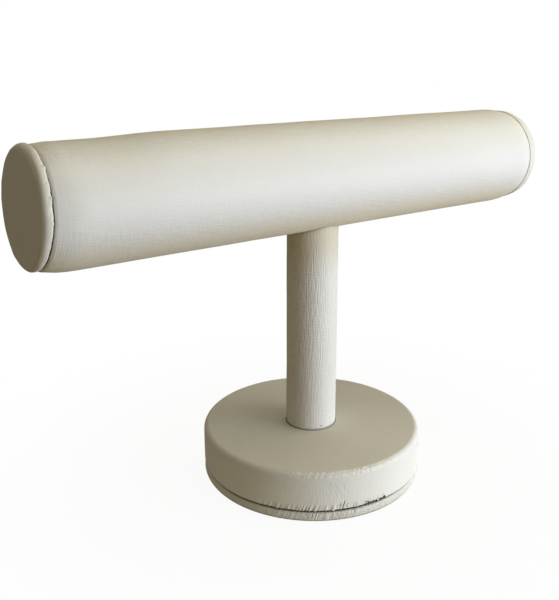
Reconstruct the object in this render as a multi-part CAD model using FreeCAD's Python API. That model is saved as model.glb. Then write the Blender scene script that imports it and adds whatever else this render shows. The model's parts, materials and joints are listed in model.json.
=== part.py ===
import FreeCAD, Part
import math
import os

from FreeCAD import Vector

# T-bar stand for bracelets: a padded bar on a covered post, on a covered round base.
# Millimetres. The origin is the middle of the underside, +Z is up and the bar runs along X.

# Bar
BAR_LENGTH = 290.0            # from one cap seam to the other
BAR_AXIS_HEIGHT = 162.5       # from the table to the middle of the bar
TUBE_DIAMETER = 50.0
TUBE_WALL = 3.0
BAR_FOAM_THICKNESS = 1.5
BAR_END_FOAM_THICKNESS = 0.2  # left at the tube's end, where the cover is pulled tight
BAR_SHOULDER_LENGTH = 11.0    # from the seam to where the foam is at its full thickness again
BAR_SHOULDER_ROUND = 70.0     # of the slow bend where that shoulder starts
BAR_END_ROUND = 1.6           # edge where the cover turns over the tube's end
TUCK_LENGTH = 8.0             # how far the cover is turned into the tube
DRIVER_HOLE_DIAMETER = 11.0   # in the tube's top, under the foam, to reach the bar screw

# Covers: one sheet material, its seams and its turned edges
COVER_THICKNESS = 1.0
SEAM_WIDTH = 0.6
SEAM_DEPTH = 0.4
NOTCH_WIDTH = 4.0             # mouth of each V cut that lets a turned edge lie flat
NOTCH_RIM = 2.5               # uncut width left between a notch and the disc's edge

# End caps
CAP_INSET = 1.8               # how much smaller the cap's radius is than the bar's
CAP_DISC_THICKNESS = 2.0
CAP_FOAM_THICKNESS = 1.0
CAP_RIM_RADIUS = 1.9          # outer edge
CAP_BACK_RADIUS = 1.0         # edge beside the seam
CAP_NOTCHES = 16
PLUG_LENGTH = 13.0            # into the tube
PLUG_CLEARANCE = 0.2

# Post
POST_DIAMETER = 27.0          # over the cover
HOLE_CLEARANCE = 0.2          # between the dowel and the hole in the bar's cover and foam

# Base
BASE_DIAMETER = 118.0
BASE_HEIGHT = 26.5
BASE_EDGE_RADIUS = 3.0        # top edge of the drum
BASE_TURN_RADIUS = 1.4        # lower edge of the drum
BASE_FOAM_THICKNESS = 1.5
BASE_NOTCHES = 24
BASE_TURNED_WIDTH = 13.0      # of the cover's edge under the drum
SOCKET_DEPTH = 6.0            # into the block
SOCKET_CLEARANCE = 0.4        # ring left round the post
COUNTERBORE_DIAMETER = 15.0
COUNTERBORE_DEPTH = 5.0

# Bottom plate
PLATE_BOARD_THICKNESS = 3.5
PLATE_INSET = 0.0             # how much smaller the plate's radius is than the drum's
PLATE_RIM_RADIUS = 2.2
PLATE_TURNED_WIDTH = 11.0

# Block inside the bar, screws and washers
SADDLE_LENGTH = 44.0
SADDLE_HEIGHT = 10.0
SCREW_DIAMETER = 4.0
SCREW_HEAD_DIAMETER = 8.0
SCREW_HEAD_HEIGHT = 2.8
SCREW_TIP = 4.0
SCREW_CLEARANCE = 0.25        # round a shank in the block, the tube or a washer
RECESS_WIDTH = 1.0            # of the cross recess
RECESS_LENGTH = 4.4
RECESS_DEPTH = 1.4
BAR_SCREW_LENGTH = 45.0
BASE_SCREW_LENGTH = 40.0
WASHER_DIAMETER = 12.0
WASHER_THICKNESS = 1.0

# Sizes that follow from those above
HALF_BAR = BAR_LENGTH / 2
TUBE_RADIUS = TUBE_DIAMETER / 2
BORE_RADIUS = TUBE_RADIUS - TUBE_WALL
BAR_FOAM_RADIUS = TUBE_RADIUS + BAR_FOAM_THICKNESS
BAR_RADIUS = BAR_FOAM_RADIUS + COVER_THICKNESS
BAR_END_FOAM_RADIUS = TUBE_RADIUS + BAR_END_FOAM_THICKNESS
BAR_END_RADIUS = BAR_END_FOAM_RADIUS + COVER_THICKNESS
SHOULDER_START = HALF_BAR - BAR_SHOULDER_LENGTH
TUBE_END = HALF_BAR - COVER_THICKNESS
TUCK_RADIUS = BORE_RADIUS - COVER_THICKNESS
CAP_RADIUS = BAR_RADIUS - CAP_INSET
CAP_DISC_RADIUS = CAP_RADIUS - COVER_THICKNESS
CAP_DISC_FACE = HALF_BAR + COVER_THICKNESS
CAP_FOAM_FACE = CAP_DISC_FACE + CAP_DISC_THICKNESS
CAP_FOAM_END = CAP_FOAM_FACE + CAP_FOAM_THICKNESS
CAP_END = CAP_FOAM_END + COVER_THICKNESS
PLUG_RADIUS = TUCK_RADIUS - PLUG_CLEARANCE
POST_RADIUS = POST_DIAMETER / 2
DOWEL_RADIUS = POST_RADIUS - COVER_THICKNESS
POST_HOLE_RADIUS = DOWEL_RADIUS + HOLE_CLEARANCE
BASE_RADIUS = BASE_DIAMETER / 2
PLATE_RADIUS = BASE_RADIUS - PLATE_INSET
PLATE_BOARD_TOP = COVER_THICKNESS + PLATE_BOARD_THICKNESS
PLATE_TOP = PLATE_BOARD_TOP + COVER_THICKNESS
BLOCK_BOTTOM = PLATE_TOP + COVER_THICKNESS
BASE_FOAM_TOP = BASE_HEIGHT - COVER_THICKNESS
BLOCK_TOP = BASE_FOAM_TOP - BASE_FOAM_THICKNESS
BASE_FOAM_RADIUS = BASE_RADIUS - COVER_THICKNESS
BLOCK_RADIUS = BASE_FOAM_RADIUS - BASE_FOAM_THICKNESS
SOCKET_RADIUS = POST_RADIUS + SOCKET_CLEARANCE
SOCKET_FLOOR = BLOCK_TOP - SOCKET_DEPTH
COUNTERBORE_TOP = BLOCK_BOTTOM + COUNTERBORE_DEPTH
SCREW_RADIUS = SCREW_DIAMETER / 2
SHANK_HOLE_RADIUS = SCREW_RADIUS + SCREW_CLEARANCE
SADDLE_TOP = BAR_AXIS_HEIGHT - BORE_RADIUS + SADDLE_HEIGHT
BAR_SCREW_SEAT = SADDLE_TOP + WASHER_THICKNESS
BASE_SCREW_SEAT = COUNTERBORE_TOP - WASHER_THICKNESS
PAST = 1.0                    # how far a cutting tool runs past what it cuts

X_AXIS = Vector(1, 0, 0)
Z_AXIS = Vector(0, 0, 1)
BAR_MIDDLE = Vector(0, 0, BAR_AXIS_HEIGHT)


def rounded_outline(corners):
    """A closed face in the XZ plane. Each corner is (x, z) or (x, z, radius of its round edge)."""
    points = [Vector(corner[0], 0, corner[1]) for corner in corners]
    radii = [corner[2] if len(corner) > 2 else 0.0 for corner in corners]
    count = len(points)
    starts, ends, arcs = [], [], []
    for i, corner in enumerate(points):
        before = (points[i - 1] - corner).normalize()
        after = (points[(i + 1) % count] - corner).normalize()
        if radii[i] <= 0:
            starts.append(corner)
            ends.append(corner)
            arcs.append(None)
            continue
        half_angle = before.getAngle(after) / 2
        reach = radii[i] / math.tan(half_angle)
        bisector = (before + after).normalize()
        centre = corner + bisector * (radii[i] / math.sin(half_angle))
        starts.append(corner + before * reach)
        ends.append(corner + after * reach)
        arcs.append(centre - bisector * radii[i])
    edges = []
    for i in range(count):
        if arcs[i] is not None:
            edges.append(Part.Arc(starts[i], arcs[i], ends[i]).toShape())
        following = starts[(i + 1) % count]
        if (following - ends[i]).Length > 1e-6:
            edges.append(Part.LineSegment(ends[i], following).toShape())
    return Part.Face(Part.Wire(edges))


def turned_about_z(corners):
    """A body of revolution about Z from corners (radius, height, round)."""
    return rounded_outline(corners).revolve(Vector(0, 0, 0), Z_AXIS, 360)


def turned_about_bar(corners):
    """A body of revolution about the bar's axis from corners (x, radius, round)."""
    solid = rounded_outline(corners).revolve(Vector(0, 0, 0), X_AXIS, 360)
    solid.translate(BAR_MIDDLE)
    return solid


def upright(radius, bottom, top):
    return Part.makeCylinder(radius, top - bottom, Vector(0, 0, bottom), Z_AXIS)


def along_bar(radius, start, end):
    return Part.makeCylinder(radius, end - start, Vector(start, 0, BAR_AXIS_HEIGHT), X_AXIS)


def block_between(low, high):
    size = high - low
    return Part.makeBox(size.x, size.y, size.z, low)


def notches_about_z(count, inner, outer, bottom, top):
    """V cuts round a turned edge, with their mouths at its inner side."""
    mouth = inner - PAST
    wedge = Part.Face(Part.makePolygon([
        Vector(mouth, -NOTCH_WIDTH / 2, bottom),
        Vector(outer, 0, bottom),
        Vector(mouth, NOTCH_WIDTH / 2, bottom),
        Vector(mouth, -NOTCH_WIDTH / 2, bottom),
    ])).extrude(Vector(0, 0, top - bottom))
    notches = []
    for i in range(count):
        notch = wedge.copy()
        notch.rotate(Vector(0, 0, 0), Z_AXIS, 360.0 * i / count)
        notches.append(notch)
    return notches


def post_hole():
    """What the dowel goes through below the tube: its hole in the bar's cover and foam."""
    return upright(POST_HOLE_RADIUS, BAR_AXIS_HEIGHT - BAR_RADIUS - PAST, BAR_AXIS_HEIGHT)


def bar_tube():
    tube = along_bar(TUBE_RADIUS, -TUBE_END, TUBE_END).cut(
        along_bar(BORE_RADIUS, -TUBE_END - PAST, TUBE_END + PAST))
    shank_hole = upright(SHANK_HOLE_RADIUS, BAR_AXIS_HEIGHT - TUBE_RADIUS - PAST, BAR_AXIS_HEIGHT)
    driver_hole = upright(DRIVER_HOLE_DIAMETER / 2, BAR_AXIS_HEIGHT,
                          BAR_AXIS_HEIGHT + TUBE_RADIUS + PAST)
    return tube.cut([shank_hole, driver_hole])


def bar_foam():
    """Foam round the tube, squeezed thin towards both ends."""
    foam = turned_about_bar([
        (-TUBE_END, TUBE_RADIUS),
        (TUBE_END, TUBE_RADIUS),
        (TUBE_END, BAR_END_FOAM_RADIUS),
        (SHOULDER_START, BAR_FOAM_RADIUS, BAR_SHOULDER_ROUND),
        (-SHOULDER_START, BAR_FOAM_RADIUS, BAR_SHOULDER_ROUND),
        (-TUBE_END, BAR_END_FOAM_RADIUS),
    ])
    return foam.cut(post_hole())


def bar_cover():
    """One sheet round the foam, over both ends of the tube and tucked into its bore."""
    turn_round = COVER_THICKNESS * 0.9
    tuck_end = TUBE_END - TUCK_LENGTH
    cover = turned_about_bar([
        (-HALF_BAR, BAR_END_RADIUS, BAR_END_ROUND),
        (-SHOULDER_START, BAR_RADIUS, BAR_SHOULDER_ROUND),
        (SHOULDER_START, BAR_RADIUS, BAR_SHOULDER_ROUND),
        (HALF_BAR, BAR_END_RADIUS, BAR_END_ROUND),
        (HALF_BAR, TUCK_RADIUS, turn_round),
        (tuck_end, TUCK_RADIUS),
        (tuck_end, BORE_RADIUS),
        (TUBE_END, BORE_RADIUS),
        (TUBE_END, BAR_END_FOAM_RADIUS),
        (SHOULDER_START, BAR_FOAM_RADIUS, BAR_SHOULDER_ROUND),
        (-SHOULDER_START, BAR_FOAM_RADIUS, BAR_SHOULDER_ROUND),
        (-TUBE_END, BAR_END_FOAM_RADIUS),
        (-TUBE_END, BORE_RADIUS),
        (-tuck_end, BORE_RADIUS),
        (-tuck_end, TUCK_RADIUS),
        (-HALF_BAR, TUCK_RADIUS, turn_round),
    ])
    bottom = BAR_AXIS_HEIGHT - BAR_RADIUS
    seam = block_between(Vector(-SHOULDER_START, -SEAM_WIDTH / 2, bottom - PAST),
                         Vector(SHOULDER_START, SEAM_WIDTH / 2, bottom + SEAM_DEPTH))
    return cover.cut([post_hole(), seam])


def cap_disc():
    return along_bar(CAP_DISC_RADIUS, CAP_DISC_FACE, CAP_FOAM_FACE)


def cap_plug():
    """Turned plug glued to the disc, a push fit in the tucked cover."""
    return along_bar(PLUG_RADIUS, HALF_BAR - PLUG_LENGTH, CAP_DISC_FACE)


def cap_foam():
    return turned_about_bar([
        (CAP_FOAM_FACE, 0),
        (CAP_FOAM_END, 0),
        (CAP_FOAM_END, CAP_DISC_RADIUS, CAP_RIM_RADIUS - COVER_THICKNESS),
        (CAP_FOAM_FACE, CAP_DISC_RADIUS),
    ])


def cap_cover():
    """One sheet over the foam and the disc's edge, its notched edge turned onto the back."""
    turned_inner = PLUG_RADIUS + PLUG_CLEARANCE
    cover = turned_about_bar([
        (CAP_END, 0),
        (CAP_END, CAP_RADIUS, CAP_RIM_RADIUS),
        (HALF_BAR, CAP_RADIUS, CAP_BACK_RADIUS),
        (HALF_BAR, turned_inner),
        (CAP_DISC_FACE, turned_inner),
        (CAP_DISC_FACE, CAP_DISC_RADIUS),
        (CAP_FOAM_END, CAP_DISC_RADIUS, CAP_RIM_RADIUS - COVER_THICKNESS),
        (CAP_FOAM_END, 0),
    ])
    notches = notches_about_z(CAP_NOTCHES, turned_inner, CAP_DISC_RADIUS - NOTCH_RIM,
                              HALF_BAR - PAST, CAP_DISC_FACE)
    for notch in notches:
        notch.rotate(Vector(0, 0, 0), Vector(0, 1, 0), 90)
        notch.translate(BAR_MIDDLE)
    return cover.cut(notches)


def saddle_block():
    """Wooden block with a round underside that spreads the bar screw's pull over the tube."""
    block = along_bar(BORE_RADIUS, -SADDLE_LENGTH / 2, SADDLE_LENGTH / 2)
    above = block_between(Vector(-SADDLE_LENGTH, -TUBE_RADIUS, SADDLE_TOP),
                          Vector(SADDLE_LENGTH, TUBE_RADIUS, BAR_AXIS_HEIGHT + TUBE_RADIUS))
    shank_hole = upright(SHANK_HOLE_RADIUS, BAR_AXIS_HEIGHT - TUBE_RADIUS, SADDLE_TOP + PAST)
    return block.cut([above, shank_hole])


def washer(bottom):
    ring = upright(WASHER_DIAMETER / 2, bottom, bottom + WASHER_THICKNESS)
    return ring.cut(upright(SHANK_HOLE_RADIUS, bottom - PAST, bottom + WASHER_THICKNESS + PAST))


def wood_screw(length):
    """Pan head screw, head up, with its head's underside at the origin."""
    head_radius = SCREW_HEAD_DIAMETER / 2
    screw = turned_about_z([
        (0, -length),
        (SCREW_RADIUS, SCREW_TIP - length),
        (SCREW_RADIUS, 0),
        (head_radius, 0),
        (head_radius, SCREW_HEAD_HEIGHT, SCREW_HEAD_HEIGHT * 0.6),
        (0, SCREW_HEAD_HEIGHT),
    ])
    low = SCREW_HEAD_HEIGHT - RECESS_DEPTH
    high = SCREW_HEAD_HEIGHT + PAST
    slot = block_between(Vector(-RECESS_LENGTH / 2, -RECESS_WIDTH / 2, low),
                         Vector(RECESS_LENGTH / 2, RECESS_WIDTH / 2, high))
    cross = block_between(Vector(-RECESS_WIDTH / 2, -RECESS_LENGTH / 2, low),
                          Vector(RECESS_WIDTH / 2, RECESS_LENGTH / 2, high))
    return screw.cut(slot.fuse(cross))


def bar_screw():
    """Down through the saddle block and the tube into the top of the dowel."""
    screw = wood_screw(BAR_SCREW_LENGTH)
    screw.translate(Vector(0, 0, BAR_SCREW_SEAT))
    return screw


def base_screw():
    """Up through the base block into the foot of the dowel."""
    screw = wood_screw(BASE_SCREW_LENGTH)
    screw.rotate(Vector(0, 0, 0), X_AXIS, 180)
    screw.translate(Vector(0, 0, BASE_SCREW_SEAT))
    return screw


def post_core():
    """Dowel whose top is coped to sit on the tube, with both screws' threads cut in it."""
    dowel = upright(DOWEL_RADIUS, SOCKET_FLOOR, BAR_AXIS_HEIGHT)
    tube_seat = along_bar(TUBE_RADIUS, -TUBE_RADIUS, TUBE_RADIUS)
    return dowel.cut([tube_seat, bar_screw(), base_screw()])


def post_cover():
    """Sheet round the dowel, its top coped to the bar's cover, its butt seam at the back."""
    sleeve = upright(POST_RADIUS, SOCKET_FLOOR, BAR_AXIS_HEIGHT).cut(
        upright(DOWEL_RADIUS, SOCKET_FLOOR - PAST, BAR_AXIS_HEIGHT + PAST))
    bar_seat = along_bar(BAR_RADIUS, -BAR_RADIUS, BAR_RADIUS)
    seam = block_between(Vector(-SEAM_WIDTH / 2, POST_RADIUS - SEAM_DEPTH, SOCKET_FLOOR - PAST),
                         Vector(SEAM_WIDTH / 2, POST_RADIUS + PAST, BAR_AXIS_HEIGHT))
    return sleeve.cut([bar_seat, seam])


def base_block():
    block = turned_about_z([
        (0, BLOCK_BOTTOM),
        (BLOCK_RADIUS, BLOCK_BOTTOM),
        (BLOCK_RADIUS, BLOCK_TOP, BASE_EDGE_RADIUS - COVER_THICKNESS - BASE_FOAM_THICKNESS),
        (0, BLOCK_TOP),
    ])
    socket = upright(SOCKET_RADIUS, SOCKET_FLOOR, BLOCK_TOP + PAST)
    counterbore = upright(COUNTERBORE_DIAMETER / 2, BLOCK_BOTTOM - PAST, COUNTERBORE_TOP)
    shank_hole = upright(SHANK_HOLE_RADIUS, BLOCK_BOTTOM, BLOCK_TOP)
    return block.cut([socket, counterbore, shank_hole])


def base_foam():
    """Thin foam over the top and side of the block, open where the post goes in."""
    return turned_about_z([
        (SOCKET_RADIUS, BASE_FOAM_TOP),
        (BASE_FOAM_RADIUS, BASE_FOAM_TOP, BASE_EDGE_RADIUS - COVER_THICKNESS),
        (BASE_FOAM_RADIUS, BLOCK_BOTTOM),
        (BLOCK_RADIUS, BLOCK_BOTTOM),
        (BLOCK_RADIUS, BLOCK_TOP, BASE_EDGE_RADIUS - COVER_THICKNESS - BASE_FOAM_THICKNESS),
        (SOCKET_RADIUS, BLOCK_TOP),
    ])


def base_cover():
    """One sheet over the drum, its notched edge turned under the block."""
    turned_inner = BASE_RADIUS - BASE_TURNED_WIDTH
    cover = turned_about_z([
        (SOCKET_RADIUS, BASE_HEIGHT),
        (BASE_RADIUS, BASE_HEIGHT, BASE_EDGE_RADIUS),
        (BASE_RADIUS, PLATE_TOP, BASE_TURN_RADIUS),
        (turned_inner, PLATE_TOP),
        (turned_inner, BLOCK_BOTTOM),
        (BASE_FOAM_RADIUS, BLOCK_BOTTOM),
        (BASE_FOAM_RADIUS, BASE_FOAM_TOP, BASE_EDGE_RADIUS - COVER_THICKNESS),
        (SOCKET_RADIUS, BASE_FOAM_TOP),
    ])
    return cover.cut(notches_about_z(BASE_NOTCHES, turned_inner, BASE_FOAM_RADIUS - NOTCH_RIM,
                                     PLATE_TOP - PAST, BLOCK_BOTTOM))


def plate_board():
    edge = PLATE_RIM_RADIUS - COVER_THICKNESS
    radius = PLATE_RADIUS - COVER_THICKNESS
    return turned_about_z([
        (0, COVER_THICKNESS),
        (radius, COVER_THICKNESS, edge),
        (radius, PLATE_BOARD_TOP, edge),
        (0, PLATE_BOARD_TOP),
    ])


def plate_cover():
    """One sheet under the board and round its edge, its notched edge turned onto the top."""
    edge = PLATE_RIM_RADIUS - COVER_THICKNESS
    board_radius = PLATE_RADIUS - COVER_THICKNESS
    turned_inner = PLATE_RADIUS - PLATE_TURNED_WIDTH
    cover = turned_about_z([
        (0, 0),
        (PLATE_RADIUS, 0, PLATE_RIM_RADIUS),
        (PLATE_RADIUS, PLATE_TOP, PLATE_RIM_RADIUS),
        (turned_inner, PLATE_TOP),
        (turned_inner, PLATE_BOARD_TOP),
        (board_radius, PLATE_BOARD_TOP, edge),
        (board_radius, COVER_THICKNESS, edge),
        (0, COVER_THICKNESS),
    ])
    return cover.cut(notches_about_z(BASE_NOTCHES, turned_inner, board_radius - NOTCH_RIM,
                                     PLATE_BOARD_TOP, PLATE_TOP + PAST))


def on_left(solid):
    """The same piece at the other end of the bar."""
    return solid.mirror(Vector(0, 0, 0), X_AXIS)


def pieces():
    """Every piece by its node's name."""
    made = {
        "bar_tube": bar_tube(),
        "bar_foam": bar_foam(),
        "bar_cover": bar_cover(),
        "saddle_block": saddle_block(),
        "bar_washer": washer(SADDLE_TOP),
        "bar_screw": bar_screw(),
        "post_core": post_core(),
        "post_cover": post_cover(),
        "base_block": base_block(),
        "base_foam": base_foam(),
        "base_cover": base_cover(),
        "base_washer": washer(BASE_SCREW_SEAT),
        "base_screw": base_screw(),
        "plate_board": plate_board(),
        "plate_cover": plate_cover(),
    }
    for name, make in [("cap_disc", cap_disc), ("cap_plug", cap_plug),
                       ("cap_foam", cap_foam), ("cap_cover", cap_cover)]:
        right = make()
        made["right_" + name] = right
        made["left_" + name] = on_left(right)
    return made


os.makedirs("parts", exist_ok=True)
for name, shape in pieces().items():
    if not shape.isValid() or len(shape.Solids) != 1:
        raise ValueError(name + " is not one valid solid")
    shape.exportStep("parts/" + name + ".step")
    print(name, round(shape.Volume, 1), "mm3")
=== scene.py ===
# %% [markdown]
# # A T-bar bracelet stand
# Shops show bracelets on a padded bar that stands on one post. This one is board, wood and foam under
# ivory pearl leatherette. The measured solids come first as a fixed frame: every piece made here takes its
# place and size from them, so nothing has to be fitted afterwards.

import math

import bmesh
import bpy
import numpy as np
from mathutils import Matrix, Vector
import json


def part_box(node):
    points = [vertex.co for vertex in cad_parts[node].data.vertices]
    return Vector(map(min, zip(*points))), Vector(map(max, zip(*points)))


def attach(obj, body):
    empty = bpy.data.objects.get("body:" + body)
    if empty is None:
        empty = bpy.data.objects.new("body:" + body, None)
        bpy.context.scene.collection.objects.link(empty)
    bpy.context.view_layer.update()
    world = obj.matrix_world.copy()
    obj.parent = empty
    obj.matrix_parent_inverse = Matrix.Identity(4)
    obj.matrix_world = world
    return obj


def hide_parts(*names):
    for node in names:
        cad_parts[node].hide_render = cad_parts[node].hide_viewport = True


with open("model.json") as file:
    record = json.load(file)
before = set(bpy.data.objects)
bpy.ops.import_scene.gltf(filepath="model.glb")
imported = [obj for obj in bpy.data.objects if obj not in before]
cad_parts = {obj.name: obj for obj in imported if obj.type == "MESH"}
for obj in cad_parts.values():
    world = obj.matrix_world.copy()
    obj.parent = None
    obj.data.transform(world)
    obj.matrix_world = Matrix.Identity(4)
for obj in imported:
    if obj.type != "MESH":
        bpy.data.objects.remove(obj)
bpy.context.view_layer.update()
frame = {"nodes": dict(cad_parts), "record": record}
MM = 0.001
print("solids:", len(frame["nodes"]))

# %% [markdown]
# ## Sizes
# Only the boxes of the solids are read. The sheet's thickness is the one size that a box can't give, and the
# rest of the numbers below are differences between boxes.

# %% Read the sizes
SHEET = 1.0 * MM              # the leatherette with its cloth back


def half_size(node, axis):
    low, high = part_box(node)
    return (high[axis] - low[axis]) / 2


bar_low, bar_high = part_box("bar_cover")
bar_axis_height = (bar_low.z + bar_high.z) / 2
bar_half = bar_high.x
bar_radius = half_size("bar_cover", 1)
foam_radius = half_size("bar_foam", 1)
tube_radius = half_size("bar_tube", 1)
tube_end = half_size("bar_tube", 0)
bore_radius = half_size("left_cap_plug", 1) + 0.2 * MM + SHEET
cap_low, cap_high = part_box("right_cap_cover")
cap_radius = half_size("right_cap_cover", 1)
cap_thickness = cap_high.x - cap_low.x
plug_radius = half_size("right_cap_plug", 1)
post_low, post_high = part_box("post_cover")
post_radius = half_size("post_cover", 0)
base_low, base_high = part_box("base_cover")
base_radius = half_size("base_cover", 0)
plate_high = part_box("plate_cover")[1]
plate_radius = half_size("plate_cover", 0)
print("bar", round(2000 * bar_radius, 1), "mm across,", round(2000 * bar_half, 1), "mm between the caps")

# %% [markdown]
# ## Two small helpers
# Every tree below, for shapes and for finishes alike, is put together with one function that adds a node,
# sets it and links it. Colours are written as they look on a screen, and one function turns them to the
# linear values that the renderer counts in.

# %% Nodes and colours


def add_node(tree, kind, inputs=None, **settings):
    """Adds a node. inputs maps a socket's name or number to a value, a node or an output."""
    node = tree.nodes.new(kind)
    for name, value in settings.items():
        setattr(node, name, value)
    for key, value in (inputs or {}).items():
        if isinstance(value, bpy.types.Node):
            value = value.outputs[0]
        if isinstance(value, bpy.types.NodeSocket):
            tree.links.new(value, node.inputs[key])
        else:
            node.inputs[key].default_value = value
    return node


def linear(hex_colour):
    """An sRGB colour such as #DDD6C6 as linear red, green, blue and alpha."""
    parts = [int(hex_colour[i:i + 2], 16) / 255 for i in (1, 3, 5)]
    return [p / 12.92 if p <= 0.04045 else ((p + 0.055) / 1.055) ** 2.4 for p in parts] + [1.0]


# %% [markdown]
# ## Camera
# The camera stands in front, to the left and a little above the bar, as in the photo to be matched. Its
# matrix is built from yaw, pitch and roll, because a tracking constraint can't hold the slight roll. The lens
# is long enough to keep the bar's taper gentle, and a small shift keeps the post upright in the picture.

# %% Place the camera
CAMERA_PLACE = (-0.2465, -0.3060, 0.2232)
CAMERA_YAW = 0.6342
CAMERA_PITCH = -0.2620
CAMERA_ROLL = -0.0014
SENSOR = 36.0
PICTURE_HEIGHT = 600
FOCAL_PIXELS = 773.6
SHIFT_PIXELS = -40


def camera_axes(yaw, pitch, roll):
    """Right, up and backward of a camera that looks along +Y when all three angles are 0."""
    forward = Vector((math.sin(yaw) * math.cos(pitch), math.cos(yaw) * math.cos(pitch), math.sin(pitch)))
    level = Vector((math.cos(yaw), -math.sin(yaw), 0))
    upright = level.cross(forward)
    right = math.cos(roll) * level + math.sin(roll) * upright
    up = -math.sin(roll) * level + math.cos(roll) * upright
    return right, up, -forward


camera = bpy.data.objects.new("camera", bpy.data.cameras.new("camera"))
bpy.context.scene.collection.objects.link(camera)
axes = Matrix(camera_axes(CAMERA_YAW, CAMERA_PITCH, CAMERA_ROLL)).transposed().to_4x4()
camera.matrix_world = Matrix.Translation(CAMERA_PLACE) @ axes
camera.data.sensor_width = SENSOR
camera.data.lens = SENSOR * FOCAL_PIXELS / PICTURE_HEIGHT
camera.data.shift_y = SHIFT_PIXELS / PICTURE_HEIGHT
camera.data.clip_start = 0.01
bpy.context.scene.camera = camera
print("lens", round(camera.data.lens, 1), "mm")

# %% [markdown]
# ## Light
# One wide window to the right of the camera lights the stand from low down, so the bar is brightest along
# its middle and the tops stay duller. A lamp far away would light both ends alike, and the photo's bar
# brightens towards the right, so the lamp stands close. A dim warm skylight, further to the right, lights
# what faces up, and the room gives back a little. What the camera sees behind the stand is plain white.

# %% Light the stand
WINDOW_TURN, WINDOW_UP = math.radians(-59), math.radians(-10)
WINDOW_DISTANCE = 1.0
WINDOW_SIZE = (0.8, 0.5)
WINDOW_POWER = 29.4
WINDOW_COLOUR = "#DDE9FF"
SKYLIGHT_TURN, SKYLIGHT_UP = math.radians(-20), math.radians(62)
SKYLIGHT_DISTANCE = 0.9
SKYLIGHT_SIZE = (0.9, 0.9)
SKYLIGHT_POWER = 4.45
SKYLIGHT_COLOUR = "#FEFADF"
ROOM_COLOUR = "#FDF3D2"
ROOM_STRENGTH = 0.18


def light_panel(name, turn, up, distance, size, power, colour):
    """A rectangle of light that faces the stand from an angle round it and an angle above it."""
    towards = Vector((math.cos(turn) * math.cos(up), math.sin(turn) * math.cos(up), math.sin(up)))
    data = bpy.data.lights.new(name, "AREA")
    data.shape = "RECTANGLE"
    data.size, data.size_y = size
    data.energy = power
    data.color = linear(colour)[:3]
    panel = bpy.data.objects.new(name, data)
    bpy.context.scene.collection.objects.link(panel)
    panel.location = Vector((0, 0, bar_axis_height * 0.8)) + towards * distance
    panel.rotation_euler = towards.to_track_quat("Z", "Y").to_euler()


def seen_directly(tree):
    """1 for what the camera, a reflection or a clear body shows, and 0 for light that falls on things."""
    path = add_node(tree, "ShaderNodeLightPath")
    shiny = add_node(tree, "ShaderNodeMath", {0: path.outputs["Is Camera Ray"],
                                              1: path.outputs["Is Glossy Ray"]}, operation="MAXIMUM")
    return add_node(tree, "ShaderNodeMath", {0: shiny, 1: path.outputs["Is Transmission Ray"]},
                    operation="MAXIMUM")


def light_room():
    world = bpy.data.worlds.new("room")
    bpy.context.scene.world = world
    world.use_nodes = True
    tree = world.node_tree
    tree.nodes.clear()
    room = add_node(tree, "ShaderNodeBackground", {"Color": linear(ROOM_COLOUR), "Strength": ROOM_STRENGTH})
    white = add_node(tree, "ShaderNodeBackground", {"Color": (1, 1, 1, 1), "Strength": 1.0})
    mixed = add_node(tree, "ShaderNodeMixShader", {0: seen_directly(tree), 1: room, 2: white})
    add_node(tree, "ShaderNodeOutputWorld", {"Surface": mixed})


light_panel("window", WINDOW_TURN, WINDOW_UP, WINDOW_DISTANCE, WINDOW_SIZE, WINDOW_POWER, WINDOW_COLOUR)
light_panel("skylight", SKYLIGHT_TURN, SKYLIGHT_UP, SKYLIGHT_DISTANCE, SKYLIGHT_SIZE, SKYLIGHT_POWER,
            SKYLIGHT_COLOUR)
light_room()
bpy.context.scene.view_settings.view_transform = "Standard"
print("window", WINDOW_POWER, "W, skylight", SKYLIGHT_POWER, "W")

# %% [markdown]
# ## Floor
# The floor is pale paper. Near the stand it takes the shadow, and further out it fades to the same white
# as the background, so no horizon shows. The light that it throws back up is that of a small pale mat on a
# dull table: the drum's side is lit from below, and the underside of the bar, further up, stays dull.

# %% Lay the floor
FLOOR_COLOUR = "#FFFFFF"
MAT_COLOUR = "#EEE6CC"
TABLE_COLOUR = "#8F7F52"
MAT_FROM, MAT_TO = 0.09, 0.14
FLOOR_SIZE = 6.0
SHADOW_SHARE = 0.06           # how much of the floor's own shading is seen beside the stand
FADE_FROM, FADE_TO = 0.06, 0.24


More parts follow.
